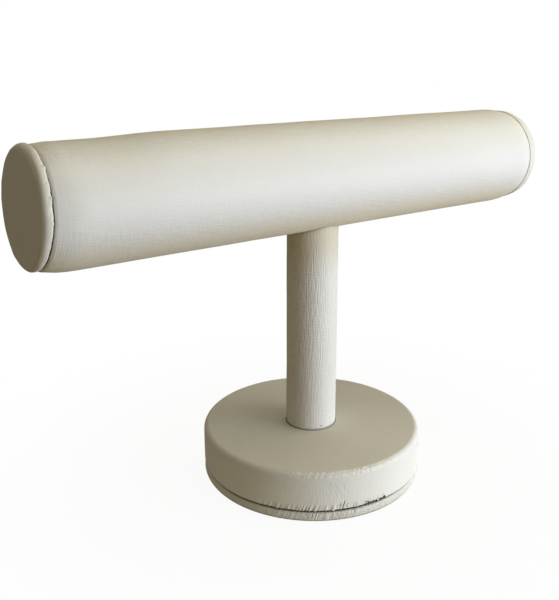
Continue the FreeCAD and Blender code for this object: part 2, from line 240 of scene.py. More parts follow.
def pale_paper():
    material = bpy.data.materials.new("pale_paper")
    material.use_nodes = True
    tree = material.node_tree
    tree.nodes.clear()
    place = add_node(tree, "ShaderNodeTexCoord")
    distance = add_node(tree, "ShaderNodeVectorMath", {0: place.outputs["Object"]}, operation="LENGTH")
    fade = add_node(tree, "ShaderNodeMapRange", {
        0: distance.outputs["Value"], 1: FADE_FROM, 2: FADE_TO, 3: 1 - SHADOW_SHARE, 4: 1.0},
        interpolation_type="SMOOTHSTEP")
    seen = seen_directly(tree)
    blend = add_node(tree, "ShaderNodeMath", {0: fade, 1: seen}, operation="MULTIPLY")
    off_mat = add_node(tree, "ShaderNodeMapRange", {0: distance.outputs["Value"], 1: MAT_FROM, 2: MAT_TO})
    bounce = add_node(tree, "ShaderNodeMix", {0: off_mat, 6: linear(MAT_COLOUR), 7: linear(TABLE_COLOUR)},
                      data_type="RGBA")
    colour = add_node(tree, "ShaderNodeMix", {0: seen, 6: bounce.outputs[2], 7: linear(FLOOR_COLOUR)},
                      data_type="RGBA")
    paper = add_node(tree, "ShaderNodeBsdfDiffuse", {"Color": colour.outputs[2]})
    glow = add_node(tree, "ShaderNodeEmission", {"Color": (1, 1, 1, 1), "Strength": 1.0})
    mixed = add_node(tree, "ShaderNodeMixShader", {0: blend, 1: paper, 2: glow})
    add_node(tree, "ShaderNodeOutputMaterial", {"Surface": mixed})
    return material


def lay_floor():
    mesh = bpy.data.meshes.new("floor")
    half = FLOOR_SIZE / 2
    corners = [(-half, -half, 0), (half, -half, 0), (half, half, 0), (-half, half, 0)]
    mesh.from_pydata(corners, [], [(0, 1, 2, 3)])
    mesh.materials.append(pale_paper())
    floor = bpy.data.objects.new("floor", mesh)
    bpy.context.scene.collection.objects.link(floor)


lay_floor()
print("floor white from", FADE_TO, "m out")

# %% [markdown]
# ## Leatherette
# Polyurethane leatherette is a cloth with a skin that was pressed with a roller, here with a fine linen
# weave, and coated with pearl pigment. The eye gets a satin band of light, a faint crosshatch that breaks it
# up, and slow cloudy changes where the sheet was pulled. The pattern follows each piece's own flat map,
# because the sheet bends round the piece and takes its weave with it. The real threads are about 0.5 mm
# apart, which is finer than the picture's dots, so they are drawn about 1.2 mm apart. The valleys between
# them are painted darker, as painted shade of the relief. The pearl is a share of metal in the skin, and it
# is taken out where seams and gaps are painted dark, as painted shade. The plastic's own gloss is turned off,
# because the pearl alone gives the sheen. How far the threads stand out, how dark the painted shade is and
# how yellow the skin is painted are values at each point of a piece; that yellow is painted shade under the
# bar and at the post's top.

# %% Make the leatherette
IVORY = "#DDD8CC"
# painted shade in the valleys between the threads
IVORY_SHADED_VALLEY = "#CFC6B3"
IVORY_CLOUD = "#E3DED4"
# a yellower skin, which under the bar and on the post's top is painted shade
IVORY_YELLOWED_AND_SHADED = "#D6CBB2"
# painted shade in the seams and gaps
SEAM_SHADE = "#261D10"
THREAD_WIDTH = 0.6 * MM
THREAD_RUN = 7.0 * MM         # how far a thread keeps its thickness
WEAVE_REPEAT = 1.2 * MM
EMBOSS_HEIGHT = 0.35 * MM     # where a piece's relief is 1; drawn high, because the threads are drawn wide
REPEAT_SHARE = 0.05           # of the roller's even repeat in the relief
VALLEY_SHADE_SHARE = 0.32           # share of the painted shade in the valleys between the threads
DULL, SATIN = 0.68, 0.54      # roughness between the threads and on top of them
PEARL_SHARE = 0.08
PEARL_EDGE = "#D8D6EA"        # what the pearl throws back at a low angle
CLOUD_SIZE = 45 * MM
PINHOLE_SIZE = 0.5 * MM       # a pin was stuck into the post near its foot
PINHOLE_TURN = math.radians(-104)
PINHOLE_PLACE = (post_radius * math.cos(PINHOLE_TURN), post_radius * math.sin(PINHOLE_TURN),
                 base_high.z + 2.2 * MM)


def threads(tree, flat, across, along, seed):
    """Height of one set of threads, about 0 to 1: noise drawn out along them, thick and thin by turns."""
    mapping = add_node(tree, "ShaderNodeMapping", {"Vector": flat, "Location": (seed, seed, 0),
                                                   "Scale": (1 / across, 1 / along, 1)})
    return add_node(tree, "ShaderNodeTexNoise", {"Vector": mapping, "Scale": 1.0, "Detail": 2.0,
                                                 "Roughness": 0.55})


def repeat(tree, along):
    """The roller's even repeat, from 0 to 1, which shows faintly through the uneven threads."""
    turns = add_node(tree, "ShaderNodeMath", {0: along, 1: 2 * math.pi / WEAVE_REPEAT}, operation="MULTIPLY")
    wave = add_node(tree, "ShaderNodeMath", {0: turns}, operation="SINE")
    return add_node(tree, "ShaderNodeMath", {0: wave, 1: 0.5, 2: 0.5}, operation="MULTIPLY_ADD")


def leatherette():
    material = bpy.data.materials.new("pearl_leatherette")
    material.use_nodes = True
    tree = material.node_tree
    tree.nodes.clear()
    flat = add_node(tree, "ShaderNodeUVMap", uv_map="sheet")
    sides = add_node(tree, "ShaderNodeSeparateXYZ", {0: flat})
    warp = threads(tree, flat, THREAD_WIDTH, THREAD_RUN, 3.0)
    weft = threads(tree, flat, THREAD_RUN, THREAD_WIDTH, 7.0)
    woven = add_node(tree, "ShaderNodeMath", {0: weft, 1: 0.5, 2: warp}, operation="MULTIPLY_ADD")
    even = add_node(tree, "ShaderNodeMath", {0: repeat(tree, sides.outputs[0]),
                                             1: repeat(tree, sides.outputs[1])}, operation="MULTIPLY")
    height = add_node(tree, "ShaderNodeMath", {0: even, 1: REPEAT_SHARE, 2: woven}, operation="MULTIPLY_ADD")
    relief = add_node(tree, "ShaderNodeAttribute", attribute_name="relief").outputs["Fac"]
    bump = add_node(tree, "ShaderNodeBump", {"Strength": relief, "Distance": EMBOSS_HEIGHT,
                                             "Height": height})
    place = add_node(tree, "ShaderNodeTexCoord")
    clouds = add_node(tree, "ShaderNodeTexNoise", {"Vector": place.outputs["Object"], "Scale": 1 / CLOUD_SIZE,
                                                   "Detail": 3.0, "Roughness": 0.5})
    cloudy = add_node(tree, "ShaderNodeMix", {0: clouds, 6: linear(IVORY), 7: linear(IVORY_CLOUD)},
                      data_type="RGBA")
    # The valleys between the threads are painted darker, as painted shade of the relief.
    valley = add_node(tree, "ShaderNodeMapRange", {0: height, 1: 0.55, 2: 0.9, 3: VALLEY_SHADE_SHARE, 4: 0.0})
    depth = add_node(tree, "ShaderNodeMath", {0: valley, 1: relief}, operation="MULTIPLY")
    valley_shaded = add_node(tree, "ShaderNodeMix", {0: depth, 6: cloudy.outputs[2], 7: linear(IVORY_SHADED_VALLEY)},
                      data_type="RGBA")
    # Yellower skin, which on the bar's underside and the post's top is painted shade.
    age = add_node(tree, "ShaderNodeAttribute", attribute_name="age").outputs["Fac"]
    aged = add_node(tree, "ShaderNodeMix", {0: age, 6: valley_shaded.outputs[2], 7: linear(IVORY_YELLOWED_AND_SHADED)},
                    data_type="RGBA")
    # Seams and gaps are painted dark, as painted shade; the pin hole is added to them.
    seams = add_node(tree, "ShaderNodeAttribute", attribute_name="soil")
    reach = add_node(tree, "ShaderNodeVectorMath", {0: place.outputs["Object"], 1: PINHOLE_PLACE},
                     operation="DISTANCE")
    pinhole = add_node(tree, "ShaderNodeMapRange", {0: reach.outputs["Value"], 1: 0.5 * PINHOLE_SIZE,
                                                    2: PINHOLE_SIZE, 3: 0.9, 4: 0.0})
    soil = add_node(tree, "ShaderNodeMath", {0: seams.outputs["Fac"], 1: pinhole}, operation="MAXIMUM")
    coloured = add_node(tree, "ShaderNodeMix", {0: soil, 6: aged.outputs[2], 7: linear(SEAM_SHADE)},
                        data_type="RGBA")
    worn = add_node(tree, "ShaderNodeMath", {0: clouds, 1: 0.3, 2: height}, operation="MULTIPLY_ADD")
    satin = add_node(tree, "ShaderNodeMapRange", {0: worn, 1: 0.7, 2: 1.2, 3: DULL, 4: SATIN})
    roughness = add_node(tree, "ShaderNodeMath", {0: satin, 1: soil}, operation="MAXIMUM")
    # Where seams are painted dark as shade, the pearl's reflection is taken out too.
    pearl = add_node(tree, "ShaderNodeMapRange", {0: soil, 1: 0.0, 2: 0.5, 3: PEARL_SHARE, 4: 0.0})
    skin = add_node(tree, "ShaderNodeBsdfPrincipled", {
        "Base Color": coloured.outputs[2], "Roughness": roughness, "IOR": 1.5, "Normal": bump,
        "Metallic": pearl, "Specular IOR Level": 0.0, "Specular Tint": linear(PEARL_EDGE)})
    add_node(tree, "ShaderNodeOutputMaterial", {"Surface": skin})
    return material


LEATHERETTE = leatherette()
print("leatherette:", len(LEATHERETTE.node_tree.nodes), "nodes")

# %% [markdown]
# ## Outlines
# All the covers start as turned shapes: one outline swept round an axis. An outline is a closed loop, out
# over the skin and back along the cloth side, so each cover is a real sheet with a thickness. Corners get
# arcs, and straight runs get points as close together as their wrinkles need.

# %% Draw outlines


class Outline:
    """A closed outline of (radius, height) points in metres, with what each point takes of the wrinkles."""

    def __init__(self, corners, spacing):
        """A corner is (radius, height, round), where round is its arc's radius. spacing(radius, height)
        is how close together the points lie there."""
        self.points = []
        count = len(corners)
        starts, ends, arcs = [], [], []
        for i, (r, z, bend) in enumerate(corners):
            corner = np.array([r, z])
            before = np.array(corners[i - 1][:2]) - corner
            after = np.array(corners[(i + 1) % count][:2]) - corner
            before = before / np.linalg.norm(before)
            after = after / np.linalg.norm(after)
            half = math.acos(np.clip(before @ after, -1, 1)) / 2
            reach = bend / math.tan(half)
            inwards = (before + after) / max(np.linalg.norm(before + after), 1e-9)
            middle = corner + inwards * bend / math.sin(half)
            starts.append(corner + before * reach)
            ends.append(corner + after * reach)
            arcs.append((middle, bend, half))
        for i in range(count):
            self.add_arc(starts[i], ends[i], *arcs[i], spacing)
            self.add_run(ends[i], starts[(i + 1) % count], spacing)
        self.points = np.array(self.points)

    def add_arc(self, start, end, middle, bend, half, spacing):
        if bend <= 0:
            self.points.append(start)
            return
        first = start - middle
        last = end - middle
        turn = math.pi - 2 * half
        steps = max(3, math.ceil(bend * turn / spacing(*start)))
        for k in range(steps + 1):
            share = k / steps
            a = math.sin((1 - share) * turn) / math.sin(turn)
            b = math.sin(share * turn) / math.sin(turn)
            self.points.append(middle + a * first + b * last)

    def add_run(self, start, end, spacing):
        length = np.linalg.norm(end - start)
        gap = spacing(*((start + end) / 2))
        steps = max(1, round(length / gap))
        for k in range(1, steps):
            self.points.append(start + (end - start) * k / steps)

    def outward(self):
        """The direction that points away from the sheet at each point."""
        along = np.roll(self.points, -1, axis=0) - np.roll(self.points, 1, axis=0)
        along = along / np.maximum(np.linalg.norm(along, axis=1), 1e-12)[:, None]
        r, z = self.points.T
        area = np.sum(r * np.roll(z, -1) - np.roll(r, -1) * z)
        return np.stack([along[:, 1], -along[:, 0]], axis=1) * (1 if area > 0 else -1)

    def as_mesh(self, name, weights):
        """The outline as a mesh that the Geometry Nodes tree reads, closed by repeating its first point."""
        around = np.vstack([self.points, self.points[:1]])
        mesh = bpy.data.meshes.new(name)
        mesh.from_pydata([(r, 0, z) for r, z in around], [(i, i + 1) for i in range(len(self.points))], [])
        normals = mesh.attributes.new("outward", "FLOAT_VECTOR", "POINT")
        out = np.vstack([self.outward(), self.outward()[:1]])
        normals.data.foreach_set("vector", np.insert(out, 1, 0, axis=1).astype(np.float32).ravel())
        for key, weight in weights.items():
            values = np.array([weight(r, z) for r, z in around], np.float32)
            mesh.attributes.new(key, "FLOAT", "POINT").data.foreach_set("value", values)
        return mesh


# %% [markdown]
# ## The wrapping tree
# A cover could be modelled by hand with loop cuts, but its wrinkles follow a rule: a flat sheet that is
# pulled over a round edge has cloth to spare, and it gathers in small folds that run across the edge.
# So Geometry Nodes make it: a grid is wrapped round the axis along the outline, and two sets of folds, short
# puckers and longer creases, push it in where the outline's weights let them. The folds come from noise that
# is read on a circle, so they close on themselves, and the fixed seed gives the same folds each time. Where
# the folds are finest the columns can be crowded together, so that no points are spent on the plain side.

# %% Build the wrapping tree


def sampled(tree, outline, name, kind, index):
    """An attribute of the outline at a point's number."""
    value = add_node(tree, "GeometryNodeInputNamedAttribute", {"Name": name}, data_type=kind)
    return add_node(tree, "GeometryNodeSampleIndex", {"Geometry": outline, "Value": value, "Index": index},
                    data_type=kind)


def folds(tree, angle, height, given, which):
    """Depth of one set of folds at an angle: sharp valleys between soft swells, deepest on one side."""
    per_turn = add_node(tree, "ShaderNodeMath", {0: given[which + " per turn"], 1: 2 * math.pi},
                        operation="DIVIDE")
    lean = add_node(tree, "ShaderNodeMath", {0: height, 1: given[which + " lean"], 2: angle},
                    operation="MULTIPLY_ADD")
    east = add_node(tree, "ShaderNodeMath", {0: lean}, operation="COSINE")
    north = add_node(tree, "ShaderNodeMath", {0: lean}, operation="SINE")
    circle = add_node(tree, "ShaderNodeCombineXYZ", {0: east, 1: north, 2: given["Seed"]})
    noise = add_node(tree, "ShaderNodeTexNoise", {"Vector": circle, "Scale": per_turn, "Detail": 2.0,
                                                  "Roughness": 0.55})
    centred = add_node(tree, "ShaderNodeMath", {0: noise, 1: 2.0, 2: -1.0}, operation="MULTIPLY_ADD")
    ridge = add_node(tree, "ShaderNodeMath", {0: centred}, operation="ABSOLUTE")
    valley = add_node(tree, "ShaderNodeMapRange", {
        0: ridge, 1: 0.0, 2: given[which + " width"], 3: 1.0, 4: 0.0}, interpolation_type="SMOOTHERSTEP")
    off = add_node(tree, "ShaderNodeMath", {0: angle, 1: given[which + " side"]}, operation="SUBTRACT")
    facing = add_node(tree, "ShaderNodeMath", {0: off}, operation="COSINE")
    share = add_node(tree, "ShaderNodeMapRange", {0: facing, 1: 0.7, 2: 0.95, 3: given[which + " elsewhere"],
                                                  4: 1.0}, interpolation_type="SMOOTHSTEP")
    deep = add_node(tree, "ShaderNodeMath", {0: valley, 1: share}, operation="MULTIPLY")
    return add_node(tree, "ShaderNodeMath", {0: deep, 1: given[which + " depth"]}, operation="MULTIPLY")


WRAP_SIZES = {
    "Crowding": 0.0, "Crowding side": 0.0,
    "Pucker per turn": 90.0, "Pucker width": 0.25, "Pucker depth": 0.0,
    "Pucker lean": 0.0, "Pucker side": 0.0, "Pucker elsewhere": 0.3,
    "Crease per turn": 30.0, "Crease width": 0.2, "Crease depth": 0.0,
    "Crease lean": 0.0, "Crease side": 0.0, "Crease elsewhere": 0.3,
    "Wave height": 0.0, "Wave length": 0.03, "Seed": 1.0,
}


def wrapping_tree():
    tree = bpy.data.node_groups.new("wrapped_sheet", "GeometryNodeTree")
    for name, kind in [("Outline", "Geometry"), ("Steps round", "Int"), ("Material", "Material")]:
        tree.interface.new_socket(name, in_out="INPUT", socket_type="NodeSocket" + kind)
    for name, value in WRAP_SIZES.items():
        socket = tree.interface.new_socket(name, in_out="INPUT", socket_type="NodeSocketFloat")
        socket.default_value = value
    tree.interface.new_socket("Cover", in_out="OUTPUT", socket_type="NodeSocketGeometry")
    given = add_node(tree, "NodeGroupInput").outputs
    size = add_node(tree, "GeometryNodeAttributeDomainSize", {"Geometry": given["Outline"]})
    columns = add_node(tree, "ShaderNodeMath", {0: given["Steps round"], 1: 1.0}, operation="ADD")
    grid = add_node(tree, "GeometryNodeMeshGrid", {"Vertices X": size.outputs["Point Count"],
                                                   "Vertices Y": columns})
    index = add_node(tree, "GeometryNodeInputIndex")
    share = add_node(tree, "ShaderNodeMath", {0: index, 1: columns}, operation="DIVIDE")
    row = add_node(tree, "ShaderNodeMath", {0: share}, operation="FLOOR")
    column = add_node(tree, "ShaderNodeMath", {0: index, 1: columns}, operation="MODULO")
    turn = add_node(tree, "ShaderNodeMath", {0: column, 1: given["Steps round"]}, operation="DIVIDE")
    even = add_node(tree, "ShaderNodeMath", {0: turn, 1: 2 * math.pi}, operation="MULTIPLY")
    bunch = add_node(tree, "ShaderNodeMath", {0: even}, operation="SINE")
    drawn = add_node(tree, "ShaderNodeMath", {0: bunch, 1: given["Crowding"]}, operation="MULTIPLY")
    uneven = add_node(tree, "ShaderNodeMath", {0: even, 1: drawn}, operation="SUBTRACT")
    angle = add_node(tree, "ShaderNodeMath", {0: uneven, 1: given["Crowding side"]}, operation="ADD")
    outline = given["Outline"]
    place = add_node(tree, "GeometryNodeSampleIndex", {
        "Geometry": outline, "Value": add_node(tree, "GeometryNodeInputPosition"), "Index": row},
        data_type="FLOAT_VECTOR")
    outward = sampled(tree, outline, "outward", "FLOAT_VECTOR", row)
    pucker_share, crease_share, wave_share = [
        sampled(tree, outline, name, "FLOAT", row) for name in ("pucker", "crease", "wave")]
    height = add_node(tree, "ShaderNodeSeparateXYZ", {0: place}).outputs[2]
    puckers = folds(tree, angle, height, given, "Pucker")
    creases = folds(tree, angle, height, given, "Crease")
    pushed = add_node(tree, "ShaderNodeMath", {0: puckers, 1: pucker_share}, operation="MULTIPLY")
    both = add_node(tree, "ShaderNodeMath", {0: creases, 1: crease_share, 2: pushed},
                    operation="MULTIPLY_ADD")
    turned = add_node(tree, "ShaderNodeVectorRotate", {"Vector": place, "Angle": angle},
                      rotation_type="Z_AXIS")
    wave_scale = add_node(tree, "ShaderNodeMath", {0: 1.0, 1: given["Wave length"]}, operation="DIVIDE")
    wave_place = add_node(tree, "ShaderNodeVectorMath", {0: turned, 1: given["Seed"]}, operation="ADD")
    wave = add_node(tree, "ShaderNodeTexNoise", {"Vector": wave_place, "Scale": wave_scale, "Detail": 1.0})
    swell = add_node(tree, "ShaderNodeMath", {0: wave, 1: 0.5}, operation="SUBTRACT")
    swell_high = add_node(tree, "ShaderNodeMath", {0: swell, 1: given["Wave height"]}, operation="MULTIPLY")
    swell_here = add_node(tree, "ShaderNodeMath", {0: swell_high, 1: wave_share}, operation="MULTIPLY")
    move = add_node(tree, "ShaderNodeMath", {0: swell_here, 1: both}, operation="SUBTRACT")
    step = add_node(tree, "ShaderNodeVectorMath", {0: outward, "Scale": move}, operation="SCALE")
    moved = add_node(tree, "ShaderNodeVectorMath", {0: place, 1: step}, operation="ADD")
    wrapped = add_node(tree, "ShaderNodeVectorRotate", {"Vector": moved, "Angle": angle},
                       rotation_type="Z_AXIS")
    shaped = add_node(tree, "GeometryNodeSetPosition", {"Geometry": grid, "Position": wrapped})
    closed = add_node(tree, "GeometryNodeMergeByDistance", {"Geometry": shaped, "Distance": 0.004 * MM})
    realized = add_node(tree, "GeometryNodeRealizeInstances", {"Geometry": closed})
    finished = add_node(tree, "GeometryNodeSetMaterial", {"Geometry": realized,
                                                          "Material": given["Material"]})
    add_node(tree, "NodeGroupOutput", {"Cover": finished})
    return tree


WRAPPING = wrapping_tree()
print("wrapping tree:", len(WRAPPING.nodes), "nodes")

# %% [markdown]
# ## From outline to piece
# The tree's result is turned into a plain mesh, because what comes after, a hole or a map of the sheet,
# works on points. The modifier goes with the outline's own object.

# %% Wrap an outline


def wrap(name, outline, weights, **settings):
    """The mesh of a cover round the Z axis. A setting's name is an input's name, with _ for a space."""
    holder = bpy.data.objects.new(name + "_outline", outline.as_mesh(name + "_outline", weights))
    bpy.context.scene.collection.objects.link(holder)
    modifier = holder.modifiers.new("wrap", "NODES")
    modifier.node_group = WRAPPING
    named = {item.name: item.identifier for item in WRAPPING.interface.items_tree if item.in_out == "INPUT"}
    for key, value in {"Material": LEATHERETTE, **settings}.items():
        modifier[named[key.replace("_", " ")]] = value
    seen = holder.evaluated_get(bpy.context.evaluated_depsgraph_get())
    mesh = bpy.data.meshes.new_from_object(seen)
    bpy.data.objects.remove(holder)
    mesh.name = name
    return mesh


# %% [markdown]
# ## Working on points
# What follows the wrapping, such as a nick, a seam or a lean, is a formula of a point's place. A mesh's
# points are read into one array and written back, which is much faster than a loop over them. Most formulas
# fade in and out with a smooth step, and many count in directions round the Z axis.

# %% Read and set points


def read(items, name, kind=np.float32, width=1):
    """A value of every vertex, loop or face of a mesh as one array, with width numbers in a row."""
    values = np.empty(len(items) * width, kind)
    items.foreach_get(name, values)
    return values.reshape(-1, width) if width > 1 else values


def point_array(mesh):
    return read(mesh.vertices, "co", width=3).astype(float)


def set_points(mesh, points):
    mesh.vertices.foreach_set("co", points.astype(np.float32).ravel())
    mesh.update()


def smooth_step(value, low, high):
    share = np.clip((value - low) / (high - low), 0, 1)
    return share * share * (3 - 2 * share)


def round_axis(points):
    """Each point's distance from the Z axis and its direction round it."""
    return np.hypot(points[:, 0], points[:, 1]), np.arctan2(points[:, 1], points[:, 0])


def turn_between(first, second):
    """The turn from the first direction to the second, at most half a turn either way."""
    return np.angle(np.exp(1j * (second - first)))


# %% [markdown]
# ## The sheet's own map
# The weave has to run along each piece and bend with it, so a piece carries a flat map in metres: round its
# axis and along it, as the sheet lay on the bench. A flat end is mapped straight across instead. The map's
# two edges meet where the real seam is, or at the back.

# %% Map a sheet


def map_sheet(mesh, radius, join):
    """The piece's own flat map in metres, round the Z axis and along it, with flat ends straight across.
    join is the direction in which the map's two edges meet."""
    x, y, z = point_array(mesh)[read(mesh.loops, "vertex_index", np.int32)].T
    corners = read(mesh.polygons, "loop_total", np.int32)
    middle_x, middle_y, _ = np.repeat(read(mesh.polygons, "center", width=3), corners, axis=0).T
    middle = turn_between(join + math.pi, np.arctan2(middle_y, middle_x))
    angle = middle + turn_between(join + math.pi + middle, np.arctan2(y, x))
    flat_end = np.abs(np.repeat(read(mesh.polygons, "normal", width=3)[:, 2], corners)) > 0.75
    uv = np.where(flat_end, [x, y], [angle * radius, z]).T
    mesh.uv_layers.new(name="sheet").data.foreach_set("uv", uv.astype(np.float32).ravel())


# %% [markdown]
# ## Wear, painted shade, and the finished piece
# Wear could be painted, but here it follows rules too: smooth where things rub. The painted shade follows
# rules as well: dark in the seams and gaps, darker and yellower under the bar. Both are stored at the points,
# and the one leatherette reads them on every piece. A finished piece then says which of the measured solids
# it stands for.

# %% Store wear and painted shade, and add a piece


def store_shade_and_wear(mesh, **shares):
    """Stores what the finish reads at each point: how dark seams and gaps are painted, which is painted
    shade, how far the threads stand out, and how yellow the skin is painted, which is partly painted shade."""
    for name, share in shares.items():
        values = np.broadcast_to(share, len(mesh.vertices)).astype(np.float32)
        mesh.attributes.new(name, "FLOAT", "POINT").data.foreach_set("value", values)


def face_outwards(mesh):
    """Turns the faces round if the closed mesh is inside out, which its signed volume shows."""
    mesh.calc_loop_triangles()
    corners = read(mesh.loop_triangles, "vertices", np.int32, width=3)
    a, b, c = point_array(mesh)[corners].transpose(1, 0, 2)
    if np.einsum("ij,ij->i", a, np.cross(b, c)).sum() < 0:
        mesh.flip_normals()


def add_piece(name, mesh, slot, *nodes):
    """The finished piece in the scene, riding on the only body and standing for its solids."""
    face_outwards(mesh)
    mesh.shade_smooth()
    piece = bpy.data.objects.new(name, mesh)
    bpy.context.scene.collection.objects.link(piece)
    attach(piece, "root")
    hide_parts(*nodes)
    mesh.calc_loop_triangles()
    print(name, len(mesh.loop_triangles), "triangles")
    return piece


# %% [markdown]
# ## The uneven left end
# The real bar isn't quite true: its left end was sawn out of square, and the cap on it sits high and is
# squeezed. Its foam is pressed flatter there, and the cover is pared thin at both ends. Each of these is one
# small function of a point's place. The covers and what they hide go through the same functions, so nothing
# comes apart.

# %% Bend the left end
LEFT_LEAN = 0.034             # how far out of square the left end is, with the cap on it
LEFT_LEAN_RUN = 30 * MM
CAP_LEAN = 0.004              # what its cap leans more, so that the cap gapes a little at its lower edge
CAP_RISE = 0.5 * MM
LEFT_SHIFT = 0.5 * MM         # the left cap's rim is thinner than the right one's
LEFT_SQUEEZE = 0.030          # and thinnest in its lower half
LEFT_PRESS = 1.1 * MM         # the foam over the left shoulder has been pressed flatter
LEFT_PRESS_FROM = 60 * MM
LEFT_PRESS_MOST = 22 * MM
PARED = 0.45 * MM             # what both ends of the bar's cover lose in thickness
PARED_LENGTH = 9 * MM


def round_bar(points):
    """Each point's height above the bar's axis and its distance from that axis."""
    above = points[:, 2] - bar_axis_height
    return above, np.hypot(points[:, 1], above)


def lean_left_end(mesh, extra=0.0):
    """Slides the points of the bar's left end along the bar, outwards below and inwards above."""
    points = point_array(mesh)
    share = smooth_step(-points[:, 0], bar_half - LEFT_LEAN_RUN, bar_half - 4 * MM)
    above, _ = round_bar(points)
    at_seam = 1 - np.clip((-points[:, 0] - bar_half) / cap_thickness, 0, 1)
    squeezed = (LEFT_SQUEEZE * np.minimum(above, 0) - LEFT_SHIFT) * at_seam
    points[:, 0] += (LEFT_LEAN * above + squeezed + extra * (above - 0.8 * cap_radius)) * share
    set_points(mesh, points)


def raise_left_cap(mesh):
    points = point_array(mesh)
    points[:, 2] += CAP_RISE * (points[:, 0] < 0)
    set_points(mesh, points)


def press(mesh, dip):
    """Pushes each point towards the bar's axis. dip(x, above, radius) gives how far."""
    points = point_array(mesh)
    above, radius = round_bar(points)
    away = np.stack([points[:, 1], above], axis=1) / np.maximum(radius, 1e-9)[:, None]
    points[:, 1:] -= away * dip(points[:, 0], above, radius)[:, None]
    set_points(mesh, points)


def left_shoulder(x, above, radius):
    """How far the foam and the cover are pressed in, on the upper side near the left end."""
    from_end = x + bar_half
    share = (1 - smooth_step(from_end, LEFT_PRESS_MOST, LEFT_PRESS_FROM)) * smooth_step(from_end, 0, 12 * MM)
    upper = smooth_step(above / np.maximum(radius, 1e-9), 0.2, 0.95)
    return LEFT_PRESS * share * upper * np.clip((radius - tube_radius) / (bar_radius - tube_radius), 0, 1)


def pared_ends(x, above, radius):
    """How much thinner the cover is towards its ends, where it was pared so that it turns over neatly."""
    share = 1 - smooth_step(bar_half - np.abs(x), 0, PARED_LENGTH)
    return PARED * share * np.clip((radius - tube_radius) / SHEET, 0, 1)


# %% [markdown]
# ## Drum cover
# One round sheet is pulled over the drum and glued under it. Pulled over the top edge it puckers finely,
# and towards the lower edge, where most cloth is to spare, it falls into upright creases. The camera's side
# shows them best, so the folds are deepest there.

# %% Fold the drum's cover
FRONT_SIDE = math.radians(-129)  # the directions round the post are counted from +X, seen from above
BACK_SIDE = math.radians(90)
PUCKER_SIDE = math.radians(-112)
CREASE_SIDE = math.radians(-118)
RAGGED_SIDE = math.radians(-94)
RAGGED_SPREAD = math.radians(7)
RAGGED_NICKS = 11
NICK_HEIGHT = 1.3 * MM
SEAM_SHADE_HEIGHT = 1.0 * MM  # how far up the side the painted shade of the seam reaches
SEAM_SHADE_BLEND = 0.3 * MM
CREASE_REACH = 6.5 * MM
CREASE_FULL, CREASE_NONE = 1.5 * MM, 5.0 * MM  # from where to where the creases die away upwards
FAINT_CREASES = 0.04          # share of the creases that goes on up to the top edge
# direction in degrees, from and to how high above the drum's lower edge in mm, sideways run per height,
# width and depth in mm
DEEP_CREASES = [
    (-116.2, 0, 4.5, 0.15, 0.28, 0.40),
    (-114.6, 0, 5.5, 0.10, 0.30, 0.55),
    (-113.0, 0, 6.5, 0.15, 0.30, 0.65),
    (-111.2, 0, 5.0, 0.15, 0.28, 0.45),
    (-108.8, 0, 4.0, 0.45, 0.28, 0.35),
    (-106.6, 0, 3.0, 0.50, 0.25, 0.30),
    (-133.5, 0, 3.5, 0.20, 0.28, 0.35),
    (-118.5, 10, 17, -0.60, 0.40, 0.07),
    (-116.0, 9, 17, -0.60, 0.40, 0.09),
    (-113.5, 8, 16, -0.60, 0.40, 0.09),
    (-110.5, 9, 16, -0.60, 0.40, 0.07),
]
BASE_EDGE = 2.6 * MM
BASE_TURN = 1.4 * MM
BASE_TURNED_WIDTH = 13.0 * MM
SOCKET_EDGE = 0.35 * MM
SOCKET_GAP = 0.1 * MM
EDGE_ZONE = 5.0 * MM          # how far down the side the puckers reach
PLAIN_TOP = 6.0 * MM          # how far from the side the top starts to be plain
EDGE_STEP, FOOT_STEP, SIDE_STEP, PLAIN_STEP = 0.36 * MM, 0.42 * MM, 1.1 * MM, 3.5 * MM
drum_top, drum_bottom = base_high.z, base_low.z
drum_inner = base_radius - SHEET
socket_radius = post_radius + SOCKET_GAP


def nicks(angle):
    """How deep the drum's lower edge is nicked at an angle, from 0 to 1, in a few ragged places."""
    rng = np.random.default_rng(11)
    depth = np.zeros_like(angle)
    for _ in range(RAGGED_NICKS):
        middle = RAGGED_SIDE + RAGGED_SPREAD * rng.uniform(-1, 1)
        width = rng.uniform(0.4, 1.5) * MM / base_radius
        off = turn_between(middle, angle)
        depth = np.maximum(depth, rng.uniform(0.4, 1.0) * np.exp(-(off / width) ** 2))
    return depth


def deep_creases(angle, above):
    """Depth of the few sharp creases and long soft folds that stand alone on the drum's front."""
    depth = np.zeros_like(angle)
    for degrees, low, high, lean, width, deep in DEEP_CREASES:
        off = turn_between(math.radians(degrees), angle) * base_radius - lean * (above - low * MM)
        share = np.exp(-(off / (width * MM)) ** 2)
        share *= smooth_step(above, (low - 1) * MM, (low + 1) * MM)
        share *= 1 - smooth_step(above, (high - 2) * MM, high * MM)
        depth = np.maximum(depth, deep * MM * share)
    return depth


def on_drum_skin(r, z):
    """Whether a point of the outline lies on the leatherette's outer side."""
    return r > drum_inner + 0.5 * SHEET or z > drum_top - 0.5 * SHEET or z < drum_bottom + 0.5 * SHEET


def drum_spacing(r, z):
    if not on_drum_skin(r, z):
        return PLAIN_STEP
    if r < base_radius - PLAIN_TOP:
        return EDGE_STEP if r < socket_radius + 0.5 * MM else PLAIN_STEP
    if z > drum_top - EDGE_ZONE:
        return EDGE_STEP
    return FOOT_STEP if z < drum_bottom + CREASE_REACH else SIDE_STEP


def drum_pucker(r, z):
    """Puckers lie right on the rounded top edge."""
    if not on_drum_skin(r, z) or r < base_radius - 8 * MM:
        return 0.0
    over_edge = (drum_top - z) - (base_radius - r)
    return float(1 - smooth_step(abs(over_edge), 0.6 * MM, 2.4 * MM))


